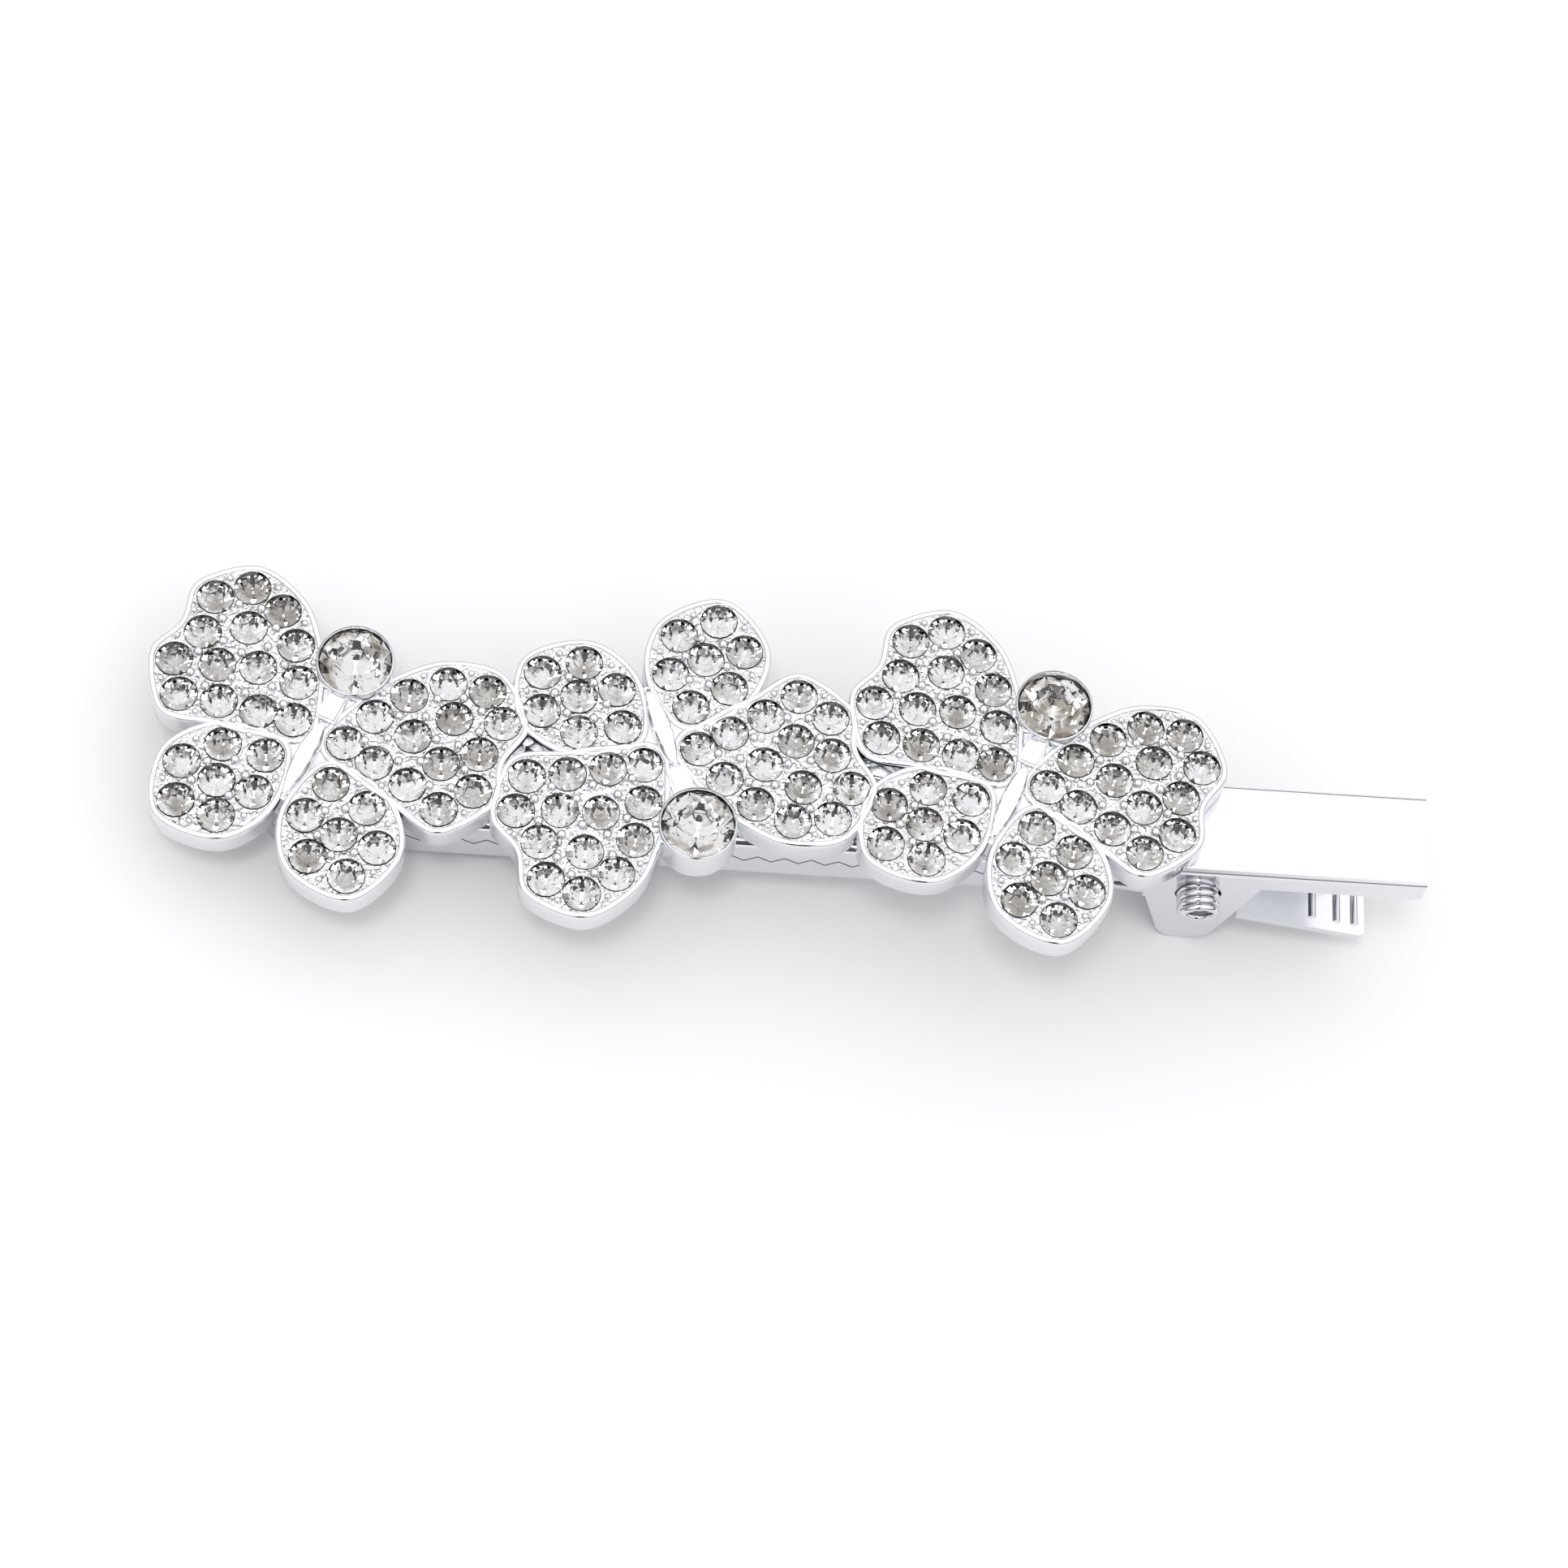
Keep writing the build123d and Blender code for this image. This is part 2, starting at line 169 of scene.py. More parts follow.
def add_node(tree: bpy.types.NodeTree, kind: str, settings: dict | None = None,
             links: dict | None = None) -> bpy.types.Node:
    """Add a shader node with its settings and links.

    Args:
        tree: The material's node tree.
        kind: Blender's node type.
        settings: Attribute or input name to value.
        links: Input name to the output socket that drives it.

    Returns:
        The new node.
    """
    node = tree.nodes.new(kind)
    for key, value in (settings or {}).items():
        if hasattr(node, key):
            setattr(node, key, value)
        else:
            node.inputs[key].default_value = value
    for key, socket in (links or {}).items():
        tree.links.new(socket, node.inputs[key])
    return node


@dataclass(frozen=True)
class Plating:
    """Bright silver plating over a metal, with the surface of the metal under it."""

    name: str
    colour: str
    roughness: float
    wear: float             # how much the roughness varies
    wave_mm: float          # size of the slow waves in the surface
    wave: float             # their relief, mm
    grain_mm: float         # size of the fine surface grain
    grain: float            # its relief, mm
    smear: float = 4.0      # size of the smears in the polish, over that of the waves

    def make(self) -> bpy.types.Material:
        """Metal shader with varied roughness, slow waves and fine grain."""
        material, tree, shader = start_material(self.name)
        shader.inputs["Base Color"].default_value = linear(self.colour)
        shader.inputs["Metallic"].default_value = 1.0
        place = add_node(tree, "ShaderNodeTexCoord").outputs["Object"]
        smears = add_node(tree, "ShaderNodeTexNoise",
                          {"Scale": 1 / (self.smear * self.wave_mm * MM), "Detail": 3.0},
                          {"Vector": place})
        rough = add_node(tree, "ShaderNodeMapRange",
                         {"To Min": self.roughness * (1 - self.wear),
                          "To Max": self.roughness * (1 + self.wear)},
                         {"Value": smears.outputs["Fac"]})
        tree.links.new(rough.outputs["Result"], shader.inputs["Roughness"])
        waves = add_node(tree, "ShaderNodeTexNoise",
                         {"Scale": 1 / (self.wave_mm * MM), "Detail": 1.0}, {"Vector": place})
        grains = add_node(tree, "ShaderNodeTexNoise",
                          {"Scale": 1 / (self.grain_mm * MM), "Detail": 2.0}, {"Vector": place})
        slow = add_node(tree, "ShaderNodeBump",
                        {"Strength": 1.0, "Distance": self.wave * MM},
                        {"Height": waves.outputs["Fac"]})
        fine = add_node(tree, "ShaderNodeBump",
                        {"Strength": 1.0, "Distance": self.grain * MM},
                        {"Height": grains.outputs["Fac"], "Normal": slow.outputs["Normal"]})
        tree.links.new(fine.outputs["Normal"], shader.inputs["Normal"])
        return material


@dataclass(frozen=True)
class LeadCrystal:
    """Machine-cut lead crystal: clear, hard-edged and strongly refracting."""

    name: str = "cut_lead_crystal"
    colour: str = "#FBFBFA"
    ior: float = 1.58

    def make(self) -> bpy.types.Material:
        """Clear glass shader with a fine polish."""
        material, _, shader = start_material(self.name)
        shader.inputs["Base Color"].default_value = linear(self.colour)
        shader.inputs["Transmission Weight"].default_value = 1.0
        shader.inputs["IOR"].default_value = self.ior
        shader.inputs["Roughness"].default_value = 0.0
        return material


@dataclass(frozen=True)
class SilverFoil:
    """Silver mirror and bronze lacquer on the back of a stone, which give it its sparkle."""

    name: str = "silver_foil_backing"
    light: str = "#EAEBEC"
    dark: str = "#BFBCB9"
    patch_mm: float = 1.3       # size of the tinted patches
    roughness: float = 0.03
    dark_to: float = 0.38       # height of the noise up to which a patch is dark
    light_from: float = 0.52    # and from which it is light

    def make(self) -> bpy.types.Material:
        """Mirror shader whose tint drifts over a stone and from stone to stone."""
        material, tree, shader = start_material(self.name)
        shader.inputs["Metallic"].default_value = 1.0
        shader.inputs["Roughness"].default_value = self.roughness
        place = add_node(tree, "ShaderNodeTexCoord").outputs["Object"]
        patches = add_node(tree, "ShaderNodeTexNoise",
                           {"Scale": 1 / (self.patch_mm * MM), "Detail": 1.0}, {"Vector": place})
        ramp = add_node(tree, "ShaderNodeValToRGB", {}, {"Fac": patches.outputs["Fac"]})
        ramp.color_ramp.elements[0].position = self.dark_to
        ramp.color_ramp.elements[0].color = linear(self.dark)
        ramp.color_ramp.elements[1].position = self.light_from
        ramp.color_ramp.elements[1].color = linear(self.light)
        tree.links.new(ramp.outputs["Color"], shader.inputs["Base Color"])
        return material


@dataclass(frozen=True)
class SeatCementAndShade:
    """Dark grey cement left round the girdle of a stone, down in its seat; its dark colour is also painted shade
    of the recess round the stone.
    """

    name: str = "grey_stone_cement"
    # Painted shade: this dark colour stands in for the shade down in each stone's seat.
    colour: str = "#3A3836"
    filler: str = "#8E8A86"
    speck_mm: float = 0.12
    roughness: float = 0.35
    shaded_to: float = 0.45     # height of the noise up to which there is only the dark cement and painted shade
    filler_from: float = 0.75   # and from which there is only filler

    def make(self) -> bpy.types.Material:
        """Half-glossy dark shader with lighter specks of filler; the dark is painted shade round the stone."""
        material, tree, shader = start_material(self.name)
        shader.inputs["Roughness"].default_value = self.roughness
        place = add_node(tree, "ShaderNodeTexCoord").outputs["Object"]
        specks = add_node(tree, "ShaderNodeTexNoise",
                          {"Scale": 1 / (self.speck_mm * MM), "Detail": 2.0}, {"Vector": place})
        ramp = add_node(tree, "ShaderNodeValToRGB", {}, {"Fac": specks.outputs["Fac"]})
        ramp.color_ramp.elements[0].position = self.shaded_to
        ramp.color_ramp.elements[0].color = linear(self.colour)
        ramp.color_ramp.elements[1].position = self.filler_from
        ramp.color_ramp.elements[1].color = linear(self.filler)
        tree.links.new(ramp.outputs["Color"], shader.inputs["Base Color"])
        return material


@dataclass(frozen=True)
class SetEpoxy:
    """Two-part epoxy, set clear and slightly cloudy, with trapped air."""

    name: str = "set_epoxy"
    colour: str = "#D6D6D0"
    bubble_mm: float = 0.35
    bubble_rise: float = 0.05   # mm
    bubble_edge: float = 0.4    # strength of the bubbles' relief
    roughness: float = 0.25
    ior: float = 1.5

    def make(self) -> bpy.types.Material:
        """Glossy off-white shader with small bubbles in its surface."""
        material, tree, shader = start_material(self.name)
        shader.inputs["Base Color"].default_value = linear(self.colour)
        shader.inputs["Roughness"].default_value = self.roughness
        shader.inputs["IOR"].default_value = self.ior
        place = add_node(tree, "ShaderNodeTexCoord").outputs["Object"]
        bubbles = add_node(tree, "ShaderNodeTexVoronoi",
                           {"Scale": 1 / (self.bubble_mm * MM)}, {"Vector": place})
        bump = add_node(tree, "ShaderNodeBump",
                        {"Strength": self.bubble_edge, "Distance": self.bubble_rise * MM},
                        {"Height": bubbles.outputs["Distance"]})
        tree.links.new(bump.outputs["Normal"], shader.inputs["Normal"])
        return material


class Finish(Enum):
    """The clip's finishes, each named for the real material and how its surface was made, and one for painted
    shade as well.
    """

    # Die-struck steel under silver plating: flat, very bright, with slow waves from the press.
    PLATED_STEEL = Plating("silver_plated_pressed_steel", "#E4E5E9", roughness=0.13, wear=0.35,
                           wave_mm=5.0, wave=0.005, grain_mm=0.12, grain=0.0006)
    # Tin-alloy casting under the same plating: softer edges and a slightly pebbled skin.
    PLATED_CASTING = Plating("silver_plated_casting", "#E8E9EC", roughness=0.14, wear=0.35,
                             wave_mm=1.2, wave=0.014, grain_mm=0.10, grain=0.002)
    # Drawn spring wire: a little darker, with streaks that break up the highlights.
    SPRING_WIRE = Plating("drawn_spring_wire", "#DCDDE0", roughness=0.16, wear=0.4,
                          wave_mm=0.8, wave=0.010, grain_mm=0.08, grain=0.003)
    # The same skin where it was left as cast between the stones: pitted, so it glitters.
    CAST_BED = Plating("silver_plated_cast_bed", "#E2E2E3", roughness=0.20, wear=0.3,
                       wave_mm=0.30, wave=0.30, grain_mm=0.10, grain=0.045)
    # The casting's back, left as it came from the mould: duller and grainy.
    CAST_BACK = Plating("silver_plated_cast_back", "#D4D5D8", roughness=0.38, wear=0.3,
                        wave_mm=1.6, wave=0.050, grain_mm=0.15, grain=0.012)
    # Painted shade: dark cement colour on the seat walls, standing in for the shade round each stone.
    CEMENT = SeatCementAndShade()
    CRYSTAL = LeadCrystal()
    FOIL = SilverFoil()
    # The large stones' mirror is thinner, so more of the bronze lacquer shows through it.
    LARGE_FOIL = SilverFoil("thin_silver_foil_backing", light="#E9E9E9", dark="#A9A29B",
                            patch_mm=1.5)
    EPOXY = SetEpoxy()

    def material(self) -> bpy.types.Material:
        """The finish's material, made the first time that it is asked for."""
        return bpy.data.materials.get(self.value.name) or self.value.make()


# ------------------------------------------------------------------ meshes
class MeshDraft:
    """Collects points and faces in clip millimetres, and makes one object of them."""

    def __init__(self) -> None:
        """Start empty."""
        self.points: list[tuple[float, float, float]] = []
        self.faces: list[tuple[int, ...]] = []
        self.slots: list[int] = []

    def add(self, points: list, faces: list, slot: int = 0) -> None:
        """Add a patch.

        Args:
            points: Points of the patch.
            faces: Corner numbers within the patch.
            slot: Material slot of its faces.
        """
        start = len(self.points)
        self.points.extend(tuple(float(c) for c in p) for p in points)
        self.faces.extend(tuple(start + i for i in face) for face in faces)
        self.slots.extend([slot] * len(faces))

    def rings(self, rings: list, start: bool = True, end: bool = True, slot: int = 0) -> None:
        """Add a skin over rings of equal length, each one closed.

        Args:
            rings: Lists of points, from first to last.
            start: Whether the first ring is filled.
            end: Whether the last ring is filled.
            slot: Material slot of the skin.
        """
        count = len(rings[0])
        points = [p for ring in rings for p in ring]
        faces = []
        for r in range(len(rings) - 1):
            for i in range(count):
                j = (i + 1) % count
                faces.append((r * count + i, r * count + j, (r + 1) * count + j, (r + 1) * count + i))
        if start:
            faces.append(tuple(reversed(range(count))))
        if end:
            faces.append(tuple((len(rings) - 1) * count + i for i in range(count)))
        self.add(points, faces, slot)

    def build(self, name: str, axes: ClipAxes, finishes: list[Finish],
              slot: str, crease: float = SOFT_CREASE) -> bpy.types.Object:
        """Make the object, join the points that its patches share, and give it its finishes.

        Args:
            name: The piece's name.
            axes: The clip's axes.
            finishes: One finish for each material slot.
            slot: The record's material slot; not used.
            crease: Edges sharper than this, in degrees, are shaded as edges.

        Returns:
            The new object.
        """
        mesh = bpy.data.meshes.new(name)
        mesh.from_pydata([axes.world(*p) for p in self.points], [], self.faces)
        mesh.polygons.foreach_set("material_index", self.slots)
        work = bmesh.new()
        work.from_mesh(mesh)
        bmesh.ops.remove_doubles(work, verts=work.verts, dist=WELD_MM * MM)
        work.to_mesh(mesh)
        work.free()
        mesh.set_sharp_from_angle(angle=math.radians(crease))
        for finish in finishes:
            mesh.materials.append(finish.material())
        piece = bpy.data.objects.new(name, mesh)
        bpy.context.scene.collection.objects.link(piece)
        return piece


def circle(x: float, y: float, z: float, radius: float, count: int) -> list:
    """Points round a level circle."""
    turns = [2 * math.pi * i / count for i in range(count)]
    return [(x + radius * math.cos(t), y + radius * math.sin(t), z) for t in turns]


def smooth_loop(points: np.ndarray, steps: int) -> np.ndarray:
    """Closed smooth line through points.

    Args:
        points: The points, in order.
        steps: Points of the line for each stretch.

    Returns:
        The line's points.
    """
    line = []
    count = len(points)
    for i in range(count):
        before, start, end, after = (points[(i + k) % count] for k in (-1, 0, 1, 2))
        for step in range(steps):
            t = step / steps
            line.append(0.5 * (2 * start + (end - before) * t
                               + (2 * before - 5 * start + 4 * end - after) * t**2
                               + (3 * start - before - 3 * end + after) * t**3))
    return np.array(line)


def outward(line: np.ndarray) -> np.ndarray:
    """Unit normals that point out of a closed counter-clockwise line."""
    run = np.roll(line, -1, axis=0) - np.roll(line, 1, axis=0)
    run /= np.linalg.norm(run, axis=1)[:, None]
    return np.column_stack([run[:, 1], -run[:, 0]])


def inside(line: np.ndarray, x: float, y: float) -> bool:
    """Whether a point lies inside a closed line."""
    xs, ys = line[:, 0], line[:, 1]
    xn, yn = np.roll(xs, -1), np.roll(ys, -1)
    crosses = (ys > y) != (yn > y)
    with np.errstate(divide="ignore", invalid="ignore"):
        reach = (xn - xs) * (y - ys) / (yn - ys) + xs
    return bool(np.count_nonzero(crosses & (x < reach)) % 2)


# ------------------------------------------------------------------ stones
@dataclass
class CutStone:
    """A round machine-cut stone: table, crown, girdle and pointed foiled back."""

    radius: float
    crown: float            # table above the girdle
    table: float = 0.55     # table radius over stone radius
    girdle: float = 0.045   # half height of the girdle
    knee: float = 0.42      # ring where the lower facets meet, over stone radius
    upper_slope: float = 42.0   # lower facets by the girdle, degrees
    lower_slope: float = 40.5   # lower facets by the point, degrees
    star: float = 0.42      # crown's middle ring above the girdle, over the crown's height
    sides: int = 8

    def add_to(self, draft: MeshDraft, place: tuple[float, float, float], turn: float,
               lean: tuple[float, float]) -> None:
        """Add the stone to a draft.

        Args:
            draft: The mesh that takes the stone.
            place: The middle of its girdle.
            turn: Turn about its own axis, in radians.
            lean: How far it leans over in its seat, in radians, about x and y.
        """
        n = self.sides
        step = math.pi / n
        table = circle(0, 0, self.crown, self.radius * self.table, n)
        upper = circle(0, 0, self.girdle, self.radius, 2 * n)
        lower = circle(0, 0, -self.girdle, self.radius, 2 * n)
        knee_radius = self.radius * self.knee
        knee_depth = (self.radius - knee_radius) * math.tan(math.radians(self.upper_slope))
        pavilion = knee_depth + knee_radius * math.tan(math.radians(self.lower_slope))
        knee = circle(0, 0, -knee_depth, knee_radius, n)
        mid_radius = (self.radius + self.radius * self.table) / 2
        mid_height = self.girdle + self.crown * self.star
        turns = [2 * step * i + step for i in range(n)]
        mid = [(mid_radius * math.cos(t), mid_radius * math.sin(t), mid_height) for t in turns]
        points = table + upper + lower + knee + mid + [(0, 0, -pavilion)]
        first_upper, first_lower = n, 3 * n
        first_knee, first_mid, culet = 5 * n, 6 * n, 7 * n
        glass = [tuple(range(n))]
        foil = []
        for i in range(n):
            j = (i + 1) % n
            u0, u1, u2 = (first_upper + (2 * i + k) % (2 * n) for k in (0, 1, 2))
            l0, l1, l2 = (first_lower + (2 * i + k) % (2 * n) for k in (0, 1, 2))
            m = first_mid + i
            k0, k1 = first_knee + i, first_knee + j
            glass += [(i, m, j), (i, u0, m), (j, m, u2), (u0, u1, m), (u1, u2, m)]
            foil += [(u0, l0, l1, u1), (u1, l1, l2, u2)]
            foil += [(l0, k0, l1), (l1, k0, k1), (l1, k1, l2), (k0, culet, k1)]
        spin = (Matrix.Rotation(lean[0], 3, "X") @ Matrix.Rotation(lean[1], 3, "Y")
                @ Matrix.Rotation(turn, 3, "Z"))
        placed = [tuple(spin @ Vector(p) + Vector(place)) for p in points]
        draft.add(placed, glass)
        draft.add(placed, foil, 1)


@dataclass
class StoneSet:
    """All the stones of one CAD node, cut and set in place of its plain solids."""

    node: str
    axes: ClipAxes
    lean: float = 0.035     # largest lean of a stone in its seat, radians
    rim: float = 0.98       # points past this share of the radius lie on the girdle

    def places(self) -> np.ndarray:
        """Girdle middle, radius and crown height of each stone, one row for each."""
        rows = []
        for part in loose_parts(self.node):
            local = self.axes.local(part)
            middle = (local[:, :2].max(0) + local[:, :2].min(0)) / 2
            reach = np.linalg.norm(local[:, :2] - middle, axis=1)
            radius = reach.max()
            girdle = local[reach > self.rim * radius, 2].mean()
            rows.append((*middle, girdle, radius, local[:, 2].max() - girdle))
        return np.array(rows)

    def build(self, draws: np.random.Generator) -> bpy.types.Object:
        """Cut every stone of the node.

        Args:
            draws: Random draws for each stone's turn and lean.

        Returns:
            The piece.
        """
        draft = MeshDraft()
        for x, y, z, radius, crown in self.places():
            turn = float(draws.uniform(0, math.pi))
            lean = tuple(float(v) for v in draws.uniform(-self.lean, self.lean, 2))
            CutStone(radius, crown).add_to(draft, (x, y, z), turn, lean)
        large = "head" in self.node
        slot = "large_crystal" if large else "small_crystal"
        finishes = [Finish.CRYSTAL, Finish.LARGE_FOIL if large else Finish.FOIL]
        piece = draft.build(self.node + "_cut", self.axes, finishes, slot, FACET_CREASE)
        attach(piece, UPPER)
        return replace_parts(piece, self.node)


# ------------------------------------------------------------------ casting
@dataclass
class WingPlate:
    """One wing of a butterfly: rounded rim, sunk bed, stone seats and setting beads."""

    stones: np.ndarray          # x, y of each stone
    top: float                  # the casting's upper face
    base: float                 # the casting's under face
    inner: int                  # stones inside the outer row
    margin: float = 1.45        # outer row's stone centres to the wing's outline
    sink: float = 0.08          # bed below the rim
    seat: float = 1.035         # seat radius at the bed
    bead: float = 0.28          # setting bead radius
    bead_dome: float = 1.1      # a bead's height over its radius
    bead_line: float = 0.30     # wing's outline to the line that the outer beads keep to
    outer_bead: float = 0.75    # an outer bead's radius over the others'
    trio: float = 3.0           # three stones no further apart than this get a bead between them
    pair: float = 2.6           # two stones no further apart than this get outer beads
    pair_side: float = 0.88     # an outer bead's distance from the line between its two stones
    stone_clear: float = 1.2    # and its least distance from any stone's centre
    rim_reach: float = 0.55     # and its greatest distance from the bead line
    line_steps: int = 10        # points of the outline for each stone of the outer row
    seat_facets: int = 28
    bead_facets: int = 16

    def outline(self) -> np.ndarray:
        """The wing's outline, a smooth closed line round its outer row of stones."""
        middle = self.stones.mean(0)
        reach = np.linalg.norm(self.stones - middle, axis=1)
        row = self.stones[np.argsort(reach)[self.inner:]]
        angles = np.arctan2(row[:, 1] - middle[1], row[:, 0] - middle[0])
        row = row[np.argsort(angles)]
        line = smooth_loop(row + outward(row) * self.margin, self.line_steps)
        away = line[:, None] - self.stones
        gaps = np.linalg.norm(away, axis=2)
        nearest = (np.arange(len(line)), gaps.argmin(1))
        short = np.maximum(self.margin - gaps[nearest], 0.0)
        return line + away[nearest] * (short / gaps[nearest])[:, None]

    def add_to(self, draft: MeshDraft) -> None:
        """Add the wing's rim, bed, seats, beads and back to a draft."""
        line = self.outline()
        normals = outward(line)
        depth = self.top - self.base
        # Inset from the outline and height from the top: wall, rounded rim, step down to the bed.
        profile = (
            (0.10, -depth), (0.02, 0.06 - depth), (0.0, 0.16 - depth), (0.0, -0.30), (0.012, -0.17),
            (0.05, -0.07), (0.10, -0.02), (0.16, 0.0), (0.27, 0.0), (0.31, -0.015),
            (0.335, -0.05), (0.35, -self.sink - 0.03), (0.37, -self.sink),
        )
        rings = []
        for inset, drop in profile:
            ring = line - normals * inset
            rings.append([(x, y, self.top + drop) for x, y in ring])
        draft.rings(rings, start=False, end=False)
        draft.add(rings[0], [tuple(reversed(range(len(line))))], 3)
        self.add_bed(draft, line - normals * profile[-1][0])
        self.add_beads(draft, line - normals * self.bead_line)

    def add_bed(self, draft: MeshDraft, edge: np.ndarray) -> None:
        """Add the sunk bed between the rim and the seats, and the seats themselves.

        Args:
            draft: The mesh that takes them.
            edge: The bed's outer line.
        """
        facets = self.seat_facets
        level = self.top - self.sink
        flat = [Vector(p) for p in edge]
        edges = [(i, (i + 1) % len(edge)) for i in range(len(edge))]
        for x, y in self.stones:
            start = len(flat)
            flat += [Vector(p[:2]) for p in circle(x, y, 0, self.seat, facets)]
            edges += [(start + i, start + (i + 1) % facets) for i in range(facets)]
        flat_out, _, faces, *_ = geometry.delaunay_2d_cdt(flat, edges, [], 0, TOUCH_MM)
        seat_reach = self.seat * 0.985      # a seat's straight facets lie a little inside its circle
        kept = []
        for face in faces:
            middle = sum((flat_out[i] for i in face), Vector((0, 0))) / len(face)
            near = np.linalg.norm(self.stones - np.array(middle), axis=1).min()
            if near > seat_reach and inside(edge, middle.x, middle.y):
                kept.append(face)
        draft.add([(p.x, p.y, level) for p in flat_out], kept, 1)
        # Radius and height from the bed: a seat's rounded lip, its wall and the cone under the stone.
        walls = ((self.seat, 0.0), (self.seat - 0.015, -0.03), (self.seat - 0.02, -0.14),
                 (0.62, -0.55), (0.20, -1.00))
        for x, y in self.stones:
            # The seat walls take slot 2: the dark cement colour that paints the shade in the seat.
            draft.rings([circle(x, y, level + drop, radius, facets) for radius, drop in walls],
                        start=False, slot=2)

    def add_beads(self, draft: MeshDraft, edge: np.ndarray) -> None:
        """Add a small bead of metal in each gap between stones, and between them and the rim.

        Args:
            draft: The mesh that takes them.
            edge: The line on the rim where the outer beads stop.
        """
        flat = [Vector(p) for p in self.stones]
        _, _, faces, *_ = geometry.delaunay_2d_cdt(flat, [], [], 0, TOUCH_MM)
        for face in faces:
            corners = self.stones[list(face)]
            sides = np.linalg.norm(corners - np.roll(corners, 1, axis=0), axis=1)
            if sides.max() < self.trio:
                self.add_bead(draft, *corners.mean(0), self.bead)
        for i, start in enumerate(self.stones):
            for end in self.stones[i + 1:]:
                run = end - start
                length = np.linalg.norm(run)
                if length > self.pair:
                    continue
                beside = np.array([run[1], -run[0]])
                for side in (-1, 1):
                    spot = (start + end) / 2 + side * self.pair_side * beside / length
                    clear = np.linalg.norm(self.stones - spot, axis=1).min()
                    reach = np.linalg.norm(edge - spot, axis=1).min()
                    if clear > self.stone_clear and reach < self.rim_reach:
                        self.add_bead(draft, *spot, self.bead * self.outer_bead)

    def add_bead(self, draft: MeshDraft, x: float, y: float, radius: float) -> None:
        """Add one domed bead that stands on the bed."""
        level = self.top - self.sink
        facets = self.bead_facets
        rings = [circle(x, y, level - radius / 2, radius, facets)]
        for lift in (0.0, 0.3, 0.55, 0.77, 0.92, 0.985):
            spread = math.sqrt(1 - lift**2) * radius
            rings.append(circle(x, y, level + lift * radius * self.bead_dome, spread, facets))
        draft.rings(rings)


